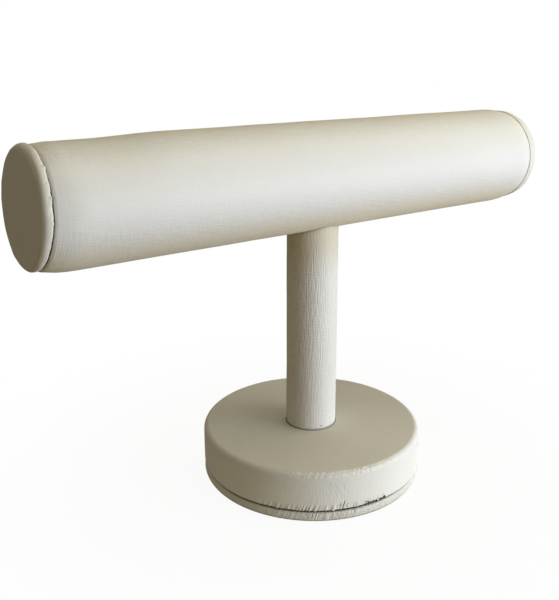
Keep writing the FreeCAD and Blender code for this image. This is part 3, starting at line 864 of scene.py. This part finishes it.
def drum_crease(r, z):
    """Creases are deep at the lower edge, run in under it, and go on faintly up the side."""
    if not on_drum_skin(r, z):
        return 0.0
    if z < drum_bottom + SHEET:
        return float(smooth_step(r, base_radius - 4 * MM, base_radius - 1 * MM))
    low = 1 - smooth_step(z, drum_bottom + CREASE_FULL, drum_bottom + CREASE_NONE)
    faint = FAINT_CREASES * (1 - smooth_step(z, drum_bottom + 8 * MM, drum_top - 1 * MM))
    return float(max(low, faint))


def drum_wave(r, z):
    return float(on_drum_skin(r, z)) * float(smooth_step(r, socket_radius, socket_radius + 5 * MM))


print("drum's side", round((drum_top - drum_bottom) / MM, 1), "mm high")

# %% [markdown]
# ## Wrapping the drum
# The outline starts at the post's socket, runs out over the top, down the side and in under the drum, and
# comes back along the cloth. The tree wraps it with the even folds. The nicks and the folds that stand alone
# are pushed in afterwards, and then the seams get their painted shade, which is widest where the edge is
# nicked.

# %% Wrap the drum


def socket_shade_share(angle):
    """Share of the painted shade round the post's foot: least in front."""
    return 0.85 - 0.5 * smooth_step(np.cos(angle - FRONT_SIDE), 0.2, 0.9)


def cover_drum():
    turned = base_radius - BASE_TURNED_WIDTH
    outline = Outline([
        (socket_radius, drum_top, SOCKET_EDGE),
        (base_radius - PLAIN_TOP, drum_top, 0),
        (base_radius, drum_top, BASE_EDGE),
        (base_radius, drum_top - EDGE_ZONE, 0),
        (base_radius, drum_bottom + CREASE_REACH, 0),
        (base_radius, drum_bottom, BASE_TURN),
        (turned, drum_bottom, 0),
        (turned, drum_bottom + SHEET, 0),
        (drum_inner, drum_bottom + SHEET, 0),
        (drum_inner, drum_top - SHEET, BASE_EDGE - SHEET),
        (socket_radius, drum_top - SHEET, 0),
    ], drum_spacing)
    mesh = wrap("drum_cover", outline, {"pucker": drum_pucker, "crease": drum_crease, "wave": drum_wave},
                Steps_round=960, Crowding=0.5, Crowding_side=PUCKER_SIDE, Pucker_per_turn=230.0,
                Pucker_width=0.28, Pucker_depth=0.34 * MM, Pucker_lean=-13.0, Pucker_side=PUCKER_SIDE,
                Pucker_elsewhere=0.1, Crease_per_turn=150.0, Crease_width=0.3, Crease_depth=0.60 * MM,
                Crease_lean=-5.0, Crease_side=CREASE_SIDE, Crease_elsewhere=0.15,
                Wave_height=0.4 * MM, Wave_length=26 * MM, Seed=4.0)
    points = point_array(mesh)
    radius, turn = round_axis(points)
    nick = nicks(turn) * (radius > base_radius - 3 * MM)
    low = 1 - smooth_step(points[:, 2], drum_bottom + 0.5 * MM, drum_bottom + 3 * MM)
    points[:, 2] += NICK_HEIGHT * nick * low
    outer = radius > drum_inner + 0.5 * SHEET
    points[:, :2] *= (1 - deep_creases(turn, points[:, 2] - drum_bottom) * outer / radius)[:, None]
    set_points(mesh, points)
    # The seam to the plate and the ring round the post's foot are painted dark brown, as painted shade.
    shade_to = drum_bottom + (SEAM_SHADE_HEIGHT + 1.4 * NICK_HEIGHT * nick)
    in_seam = 1 - smooth_step(points[:, 2], shade_to - SEAM_SHADE_BLEND, shade_to)
    lighter_seam = smooth_step(np.sin(turn - RAGGED_SIDE), 0.02, 0.14) * (1 - nick)
    in_seam *= 1 - 0.5 * lighter_seam
    in_socket = 1 - smooth_step(radius, socket_radius + 0.05 * MM, socket_radius + 0.3 * MM)
    store_shade_and_wear(mesh, soil=np.maximum(in_seam, in_socket * socket_shade_share(turn)), relief=0.3)
    map_sheet(mesh, base_radius, BACK_SIDE)
    piece = add_piece("drum_cover", mesh, "leatherette", "base_cover")


cover_drum()

# %% [markdown]
# ## Bottom plate's cover
# The plate is a thin disc, wrapped from below. So much cloth is turned over so low an edge that its rim is
# wrinkled all the way round, and the wrinkles lean because the sheet was pulled round by hand.

# %% Wrap the bottom plate
PLATE_RIM = 2.2 * MM
PLATE_TURNED_WIDTH = 11.0 * MM
RIM_STEP, CLOTH_STEP, FLAT_STEP = 0.35 * MM, 1.0 * MM, 4.0 * MM


def cover_plate():
    top = plate_high.z
    turned = plate_radius - PLATE_TURNED_WIDTH
    inner = plate_radius - SHEET
    outline = Outline([
        (0, 0, 0),
        (plate_radius, 0, PLATE_RIM),
        (plate_radius, top, PLATE_RIM),
        (turned, top, 0),
        (turned, top - SHEET, 0),
        (inner, top - SHEET, PLATE_RIM - SHEET),
        (inner, SHEET, PLATE_RIM - SHEET),
        (0, SHEET, 0),
    ], lambda r, z: FLAT_STEP if r < inner - 4 * MM else CLOTH_STEP if r < inner + 0.4 * SHEET else RIM_STEP)

    def rim(r, z):
        on_skin = r > inner + 0.4 * SHEET or z > top - 0.4 * SHEET or z < 0.4 * SHEET
        return float(on_skin) * float(smooth_step(r, plate_radius - 6 * MM, plate_radius - 2 * MM))

    def crease(r, z):
        return rim(r, z) * float(smooth_step(z, 0.2 * MM, 1.6 * MM))

    mesh = wrap("plate_cover_skin", outline, {"pucker": crease, "crease": crease, "wave": rim},
                Steps_round=1024, Crowding=0.5, Crowding_side=CREASE_SIDE, Pucker_per_turn=300.0,
                Pucker_width=0.30, Pucker_depth=0.20 * MM, Pucker_lean=-6.0, Pucker_side=CREASE_SIDE,
                Crease_per_turn=70.0, Crease_depth=0.12 * MM, Crease_lean=8.0, Crease_side=RAGGED_SIDE,
                Wave_height=0.30 * MM, Wave_length=14 * MM, Seed=9.0)
    points = point_array(mesh)
    points[:, 2] = np.maximum(points[:, 2], 0)
    set_points(mesh, points)
    radius, turn = round_axis(points)
    # The rim is painted darker under the drum, along the table, low down and on one side, as painted shade.
    under_drum = smooth_step(points[:, 2], top - 0.45 * MM, top - 0.1 * MM)
    on_table = 1 - smooth_step(points[:, 2], 0.6 * MM, 1.4 * MM)
    low_side = 1 - smooth_step(points[:, 2], 0.8 * MM, 4.6 * MM)
    outside = smooth_step(radius, plate_radius - 2.4 * MM, plate_radius - 1.4 * MM)
    side_shade = 0.11 * smooth_step(np.cos(turn - RAGGED_SIDE), 0.75, 0.95)
    plate_shade = outside * np.maximum(0.95 * on_table, 0.06 * low_side + side_shade)
    store_shade_and_wear(mesh, soil=np.maximum(under_drum, plate_shade), relief=0.3, age=0.2)
    map_sheet(mesh, plate_radius, BACK_SIDE)
    piece = add_piece("plate_cover_skin", mesh, "leatherette", "plate_cover")


cover_plate()

# %% [markdown]
# ## End caps
# Each cap is a board disc with a foam pad under a round sheet. The foam gives it a full, soft rim, and the
# cloth gathers behind it, so small tucks poke out into the seam. On the right the gathered cloth laps over
# the bar's end. The caps are made lying on the Z axis and then stood against the bar's ends.

# %% Wrap the end caps
CAP_RIM = 3.3 * MM
CAP_BACK = 1.3 * MM
CAP_SWELL = 0.5 * MM          # the foam bulges a little towards the seam
CAP_CROWN = 0.3 * MM
CAP_LAP = 2.3 * MM            # the right cap's cloth laps this far over the bar's end
LAP_SWELL = 0.8 * MM
LAP_SHEET = 0.4 * MM          # thickness of the cloth that laps, pared thin
TUCK_SIDE = math.radians(-90)  # the front, which stays in front when a cap is stood against the bar
# direction in degrees and size of each tuck
LEFT_TUCKS = [(-45, 0.6), (-73, 1.0), (-95, 0.6)]
RIGHT_TUCKS = [(62, 1.0), (110, 0.7)]
TUCK_WIDTH = 0.6 * MM
TUCK_RISE = 0.5 * MM
TUCK_REACH = 0.6 * MM
GATHER_FULL, GATHER_NONE = 0.6 * MM, 3.6 * MM  # the gathers die away from the seam towards the face
GATHER_STEP, FACE_STEP = 0.5 * MM, 2.0 * MM
TUCK_FULL, TUCK_NONE = 0.4 * MM, 1.8 * MM


def tucks(angle, places):
    """How far the gathered cloth pokes out of the seam at an angle, from 0 to 1."""
    share = np.zeros_like(angle)
    for degrees, size in places:
        off = turn_between(math.radians(degrees), angle) * cap_radius
        share = np.maximum(share, size * np.exp(-(off / TUCK_WIDTH) ** 2))
    return share


def cap_mesh(name, seed, tuck_places, lap):
    """A cap round the Z axis with its back at 0 and its face at the cap's thickness."""
    inner = cap_radius - SHEET
    face = cap_thickness
    turned = plug_radius + 0.2 * MM
    edge = cap_radius + (LAP_SWELL if lap else CAP_SWELL)
    over_bar = [(edge, -lap, 0.1 * MM), (edge - LAP_SHEET, -lap, 0), (edge - LAP_SHEET, 0, 0)]

    def spacing(r, z):
        if r < inner - 5 * MM:
            return FACE_STEP
        return GATHER_STEP if r < inner + 0.3 * SHEET else RIM_STEP

    outline = Outline([
        (0, face, 0),
        (cap_radius, face, CAP_RIM),
        *(over_bar if lap else [(edge, 0, CAP_BACK)]),
        (turned, 0, 0),
        (turned, SHEET, 0),
        (inner, SHEET, 0),
        (inner, face - SHEET, CAP_RIM - SHEET),
        (0, face - SHEET, 0),
    ], spacing)

    def on_skin(r, z):
        if lap and z < 0.1 * MM:
            return r > edge - 0.3 * LAP_SHEET
        return r > inner + 0.4 * SHEET or z > face - 0.4 * SHEET or z < 0.4 * SHEET

    def gather(r, z):
        if not on_skin(r, z):
            return 0.0
        behind = 1 - smooth_step(z, GATHER_FULL, GATHER_NONE)
        return float(behind * smooth_step(r, turned, cap_radius - 2 * MM))

    def rim(r, z):
        return float(on_skin(r, z)) * float(smooth_step(r, 8 * MM, cap_radius - 3 * MM))

    mesh = wrap(name, outline, {"pucker": gather, "crease": gather, "wave": rim},
                Steps_round=768, Crowding=0.3, Crowding_side=TUCK_SIDE, Pucker_per_turn=60.0,
                Pucker_width=0.2, Pucker_depth=0.07 * MM, Pucker_lean=60.0, Pucker_side=TUCK_SIDE,
                Pucker_elsewhere=0.7, Crease_per_turn=24.0, Crease_width=0.14, Crease_depth=0.16 * MM,
                Crease_lean=30.0, Crease_side=TUCK_SIDE, Crease_elsewhere=0.7, Wave_height=0.6 * MM,
                Wave_length=9 * MM, Seed=seed)
    points = point_array(mesh)
    radius, turn = round_axis(points)
    crown = CAP_CROWN * (1 - smooth_step(radius, 4 * MM, cap_radius - 2 * MM))
    points[:, 2] += np.where(points[:, 2] > face / 2, crown, 0)
    tuck = tucks(turn, tuck_places) * (radius > cap_radius - 2 * MM)
    tuck *= 1 - smooth_step(points[:, 2], TUCK_FULL, TUCK_NONE)
    points[:, :2] *= (1 + TUCK_RISE * tuck / np.maximum(radius, 1e-9))[:, None]
    points[:, 2] -= TUCK_REACH * tuck
    set_points(mesh, points)
    map_sheet(mesh, cap_radius, BACK_SIDE)
    return mesh


def stand_against_bar(side):
    """Turns +Z to the bar's left (-1) or right (1) and moves the cap to that end."""
    turn = Matrix.Rotation(math.radians(90 * side), 4, "Y")
    return Matrix.Translation((side * bar_half, 0, bar_axis_height)) @ turn


def seam_shade_share(height):
    """Share of the painted shade in an end cap's seam: most in its lower half."""
    return 1 - 0.5 * smooth_step(height - bar_axis_height, 6 * MM, 20 * MM)


def cover_cap(name, side, seed, tuck_places, lap, soiled):
    """One cap's cover, on the bar's left (-1) or right (1). The last argument is how dark its seam is
    painted, as painted shade.
    """
    mesh = cap_mesh(name + "_skin", seed, tuck_places, lap)
    mesh.transform(stand_against_bar(side))
    points = point_array(mesh)
    # The seam behind the cap is painted dark, as painted shade.
    behind = 1 - smooth_step(np.abs(points[:, 0]) - bar_half + lap, 0.1 * MM, 0.45 * MM)
    store_shade_and_wear(mesh, soil=soiled * behind * seam_shade_share(points[:, 2]), relief=0.1, age=0.35)
    lean_left_end(mesh, CAP_LEAN)
    raise_left_cap(mesh)
    piece = add_piece(name + "_skin", mesh, "leatherette", name)


cover_cap("left_cap_cover", -1, seed=2.0, tuck_places=LEFT_TUCKS, lap=0.0, soiled=0.95)
cover_cap("right_cap_cover", 1, seed=5.0, tuck_places=RIGHT_TUCKS, lap=CAP_LAP, soiled=0.25)

# %% [markdown]
# ## Seams and holes
# Where a sheet's two edges meet, the skin dips in a narrow groove, which is only a small push on the points
# beside it. The hole for the post goes right through, so it is cut with a Boolean, which is safe here because
# each sheet is closed.

# %% Press a seam and cut a hole
SEAM_WIDTH = 0.7 * MM
SEAM_DEPTH = 0.4 * MM


def press_seam(points, side, radius):
    """Pushes a narrow groove into a skin round the Z axis, along one side, and gives its share of depth."""
    reach, turn = round_axis(points)
    off = turn_between(side, turn) * radius
    on_skin = reach > radius - 0.6 * SHEET
    dip = np.where(on_skin, SEAM_DEPTH * (1 - smooth_step(np.abs(off), 0.1 * SEAM_WIDTH, SEAM_WIDTH)), 0)
    points[:, :2] *= ((reach - dip) / np.maximum(reach, 1e-9))[:, None]
    return dip / SEAM_DEPTH


def cut_hole(mesh, radius, low, high):
    """Cuts an upright round hole through the sheet with a Boolean."""
    holder = bpy.data.objects.new("to_cut", mesh)
    bpy.context.scene.collection.objects.link(holder)
    bpy.ops.mesh.primitive_cylinder_add(vertices=96, radius=radius, depth=high - low,
                                        location=(0, 0, (low + high) / 2))
    cutter = bpy.context.object
    modifier = holder.modifiers.new("hole", "BOOLEAN")
    modifier.operation = "DIFFERENCE"
    modifier.solver = "EXACT"
    modifier.object = cutter
    cut = bpy.data.meshes.new_from_object(holder.evaluated_get(bpy.context.evaluated_depsgraph_get()))
    bpy.data.objects.remove(holder)
    bpy.data.objects.remove(cutter)
    return cut


# %% [markdown]
# ## Bar cover
# The bar's sheet is rolled round the foam with a butt seam along the bottom, and its ends are turned into
# the tube. It is the same kind of turned sheet, so the same tree wraps it, along the bar's own axis. What
# hangs on the bar has rubbed its front side smoother. Its underside is painted darker and yellower, and its
# seam and ends are painted dark, all as painted shade.

# %% Wrap the bar
BAR_END_FOAM = 0.2 * MM       # what is left of the foam's thickness at the tube's end
BAR_SHOULDER = 11.0 * MM      # length of the soft shoulder
BAR_SHOULDER_ROUND = 70.0 * MM
RIGHT_END_ROUND = 0.9 * MM
LEFT_END_ROUND = 2.0 * MM
TUCK = 8.0 * MM
BAR_RELIEF = 1.1
RUBBED_RELIEF = 0.34          # the threads' relief in the rubbed zone
RUBBED_MIDDLE = math.radians(15)  # its middle, turned up from straight in front
RUBBED_HALF = math.radians(34)
end_inner = tube_radius + BAR_END_FOAM
end_outer = end_inner + SHEET
shoulder = bar_half - BAR_SHOULDER


def bar_spacing(r, z):
    if abs(z) > bar_half - 3 * MM:
        return 0.5 * MM
    return (6.0 if r < bar_radius - 0.5 * SHEET else 1.8) * MM


def bar_skin_radius(z):
    """A radius within the sheet at a place along the bar. What lies further out than it is skin."""
    rise = (foam_radius - end_inner) * smooth_step(bar_half - abs(z), 0, BAR_SHOULDER)
    return end_inner + rise + 0.4 * SHEET


def bar_end_folds(r, z):
    """The bar's folds lie near its ends, where the sheet is turned in."""
    on_skin = r > bar_skin_radius(z) or abs(z) > tube_end + 0.4 * SHEET
    return float(on_skin) * float(smooth_step(abs(z), bar_half - 9 * MM, bar_half - 0.5 * MM))


def bar_wave(r, z):
    return float(r > bar_skin_radius(z))


def cover_bar():
    outline = Outline([
        (end_outer, -bar_half, LEFT_END_ROUND),
        (bar_radius, -shoulder, BAR_SHOULDER_ROUND),
        (bar_radius, shoulder, BAR_SHOULDER_ROUND),
        (end_outer, bar_half, RIGHT_END_ROUND),
        (bore_radius - SHEET, bar_half, 0.9 * SHEET),
        (bore_radius - SHEET, tube_end - TUCK, 0),
        (bore_radius, tube_end - TUCK, 0),
        (bore_radius, tube_end, 0),
        (end_inner, tube_end, 0),
        (foam_radius, shoulder, BAR_SHOULDER_ROUND),
        (foam_radius, -shoulder, BAR_SHOULDER_ROUND),
        (end_inner, -tube_end, 0),
        (bore_radius, -tube_end, 0),
        (bore_radius, TUCK - tube_end, 0),
        (bore_radius - SHEET, TUCK - tube_end, 0),
        (bore_radius - SHEET, -bar_half, 0.9 * SHEET),
    ], bar_spacing)
    weights = {"pucker": bar_end_folds, "crease": bar_end_folds, "wave": bar_wave}
    mesh = wrap("bar_cover_skin", outline, weights,
                Steps_round=384, Pucker_per_turn=70.0, Pucker_depth=0.06 * MM, Pucker_side=math.radians(90),
                Crease_per_turn=22.0, Crease_depth=0.14 * MM, Crease_lean=3.0, Crease_side=math.radians(60),
                Wave_height=0.45 * MM, Wave_length=42 * MM, Seed=12.0)
    points = point_array(mesh)
    bottom = 0.0              # the bar still stands upright, and this side of it is turned down below
    seam = press_seam(points, bottom, bar_radius)
    set_points(mesh, points)
    map_sheet(mesh, bar_radius, bottom)
    mesh.transform(Matrix.Translation((0, 0, bar_axis_height)) @ Matrix.Rotation(math.radians(90), 4, "Y"))
    points = point_array(mesh)
    # The butt seam and the ends, where the caps sit, are painted dark, as painted shade.
    at_end = smooth_step(np.abs(points[:, 0]), bar_half - 0.25 * MM, bar_half - 0.1 * MM)
    above, radius = round_bar(points)
    up = np.arctan2(above, -points[:, 1])
    rubbed = 1 - smooth_step(np.abs(up - RUBBED_MIDDLE), 0.6 * RUBBED_HALF, 1.4 * RUBBED_HALF)
    # The underside is painted darker and yellower, as painted shade.
    underside_shade = 1 - smooth_step(above / radius, -0.85, -0.25)
    store_shade_and_wear(mesh, soil=np.maximum(seam * 0.45, 0.95 * at_end * seam_shade_share(points[:, 2])),
             relief=BAR_RELIEF - (BAR_RELIEF - RUBBED_RELIEF) * rubbed, age=underside_shade)
    press(mesh, left_shoulder)
    press(mesh, pared_ends)
    lean_left_end(mesh)
    mesh = cut_hole(mesh, post_radius - SHEET + 0.2 * MM, bar_low.z - 2 * MM, bar_axis_height)
    piece = add_piece("bar_cover_skin", mesh, "leatherette", "bar_cover")


cover_bar()

# %% [markdown]
# ## Post cover
# A sleeve of the same sheet. Its top is cut to the curve of the bar, and its seam is turned away from the
# front. The sleeve is wrapped straight and then each point is raised in proportion, so that its top edge lies
# on the bar's cylinder all the way round.

# %% Wrap the post


def cover_post():
    low = post_low.z
    inner = post_radius - SHEET
    straight_top = bar_axis_height - bar_radius
    outline = Outline([
        (post_radius, low, 0),
        (post_radius, straight_top, 0.35 * MM),
        (inner, straight_top, 0),
        (inner, low, 0),
    ], lambda r, z: 1.6 * MM if r > inner + 0.4 * SHEET else 8.0 * MM)

    def skin(r, z):
        return float(r > inner + 0.4 * SHEET)

    def near_foot(r, z):
        return skin(r, z) * float(1 - smooth_step(z, base_high.z, base_high.z + 10 * MM))

    mesh = wrap("post_cover_skin", outline, {"pucker": near_foot, "crease": near_foot, "wave": skin},
                Steps_round=256, Crease_per_turn=14.0, Crease_depth=0.05 * MM, Crease_side=FRONT_SIDE,
                Wave_height=0.28 * MM, Wave_length=22 * MM, Seed=21.0)
    points = point_array(mesh)
    seam = press_seam(points, BACK_SIDE, post_radius)
    saddle = bar_axis_height - np.sqrt(bar_radius ** 2 - points[:, 1] ** 2)
    share = (points[:, 2] - low) / (straight_top - low)
    points[:, 2] = low + share * (saddle - low)
    set_points(mesh, points)
    # The seam, the top edge under the bar and the foot are painted dark, and the top below the bar is painted
    # darker and yellower, all as painted shade.
    top = smooth_step(points[:, 2], saddle - 0.5 * MM, saddle - 0.05 * MM)
    foot = 1 - smooth_step(points[:, 2], base_high.z - 0.2 * MM, base_high.z + 0.1 * MM)
    shaded = smooth_step(points[:, 2], straight_top - 28 * MM, straight_top - 2 * MM)
    store_shade_and_wear(mesh, soil=np.maximum.reduce([seam * 0.45, top * 0.7, foot * 0.8]), relief=1.0, age=shaded)
    map_sheet(mesh, post_radius, BACK_SIDE)
    piece = add_piece("post_cover_skin", mesh, "leatherette", "post_cover")


cover_post()

# %% [markdown]
# ## What the covers hide
# Board, wood, foam and screws keep their solids' shapes, which are right already. Each still gets the finish
# of the real thing, because the stand can be opened or cut through in a picture.

# %% Finish the hidden parts


def plain_material(name, dark, light, scale, stretch, roughness, bump_height, metallic=0.0):
    """Two colours mixed by stretched noise, with the same noise as relief. scale is in metres."""
    material = bpy.data.materials.new(name)
    material.use_nodes = True
    tree = material.node_tree
    tree.nodes.clear()
    place = add_node(tree, "ShaderNodeTexCoord")
    mapping = add_node(tree, "ShaderNodeMapping", {"Vector": place.outputs["Object"],
                                                   "Scale": [s / scale for s in stretch]})
    noise = add_node(tree, "ShaderNodeTexNoise", {"Vector": mapping, "Scale": 1.0, "Detail": 6.0,
                                                  "Roughness": 0.6})
    share = add_node(tree, "ShaderNodeMapRange", {0: noise, 1: 0.3, 2: 0.7, 3: 0.0, 4: 1.0})
    colour = add_node(tree, "ShaderNodeMix", {0: share, 6: linear(dark), 7: linear(light)}, data_type="RGBA")
    bump = add_node(tree, "ShaderNodeBump", {"Strength": 1.0, "Distance": bump_height, "Height": noise})
    skin = add_node(tree, "ShaderNodeBsdfPrincipled", {"Base Color": colour.outputs[2], "Normal": bump,
                                                       "Roughness": roughness, "Metallic": metallic})
    add_node(tree, "ShaderNodeOutputMaterial", {"Surface": skin})
    return material


HIDDEN_FINISHES = {
    # kraft and grey board: short fibres pressed flat, dull and a little mottled
    "paperboard": plain_material("kraft_board", "#9C7F5B", "#B89A73", 1.5 * MM, (0.3, 1, 1), 0.9, 0.03 * MM),
    # polyurethane foam: fine open cells that scatter light
    "foam": plain_material("white_foam", "#DEDCD2", "#F1F0E9", 0.4 * MM, (1, 1, 1), 0.95, 0.08 * MM),
    # turned poplar: pale long grain, unsealed
    "plain_wood": plain_material("turned_poplar", "#C3A277", "#DCC29A", 1.2 * MM, (1, 1, 0.06), 0.7,
                                 0.03 * MM),
    # fibreboard: fine brown felt of wood fibre, the same all ways
    "fibreboard": plain_material("raw_fibreboard", "#957650", "#AD8F68", 0.6 * MM, (1, 1, 1), 0.85,
                                 0.03 * MM),
    # zinc-plated steel: bright, faintly blue and drawn
    "steel": plain_material("zinc_plated_steel", "#B7BBC0", "#D2D5D8", 0.5 * MM, (1, 1, 0.2), 0.32,
                            0.005 * MM, metallic=1.0),
}
SLOTS = {part["node"]: part["material_slot"] for part in frame["record"]["subparts"]}


def finish_hidden_parts():
    dressed = 0
    for name, node in frame["nodes"].items():
        if SLOTS[name] in HIDDEN_FINISHES:
            node.data.materials.clear()
            node.data.materials.append(HIDDEN_FINISHES[SLOTS[name]])
            dressed += 1
    print("hidden parts:", dressed)


finish_hidden_parts()

# %% [markdown]
# ## What is hidden at the left end
# The parts under the leaning end have to lean too, or they would poke out of their covers. A solid of the
# frame isn't changed, so each of these is a copy, merged first because the solids come as loose triangles.

# %% Bend the hidden parts
LEANING = ["bar_tube", "bar_foam", "left_cap_disc", "left_cap_plug", "left_cap_foam"]


def lean_hidden_parts():
    """What lies under the leaning left end is a copy of its solid, bent the way its cover is."""
    for name in LEANING:
        mesh = frame["nodes"][name].data.copy()
        builder = bmesh.new()
        builder.from_mesh(mesh)
        bmesh.ops.remove_doubles(builder, verts=builder.verts, dist=0.001 * MM)
        builder.to_mesh(mesh)
        builder.free()
        if name == "bar_foam":
            press(mesh, left_shoulder)
        lean_left_end(mesh, CAP_LEAN if name in ("left_cap_disc", "left_cap_foam") else 0.0)
        if name in ("left_cap_disc", "left_cap_foam"):
            raise_left_cap(mesh)
        piece = add_piece(name + "_core", mesh, SLOTS[name], name)
        mesh.set_sharp_from_angle(angle=math.radians(40))


lean_hidden_parts()

# %% [markdown]
# ## End

# %% Import json
import json
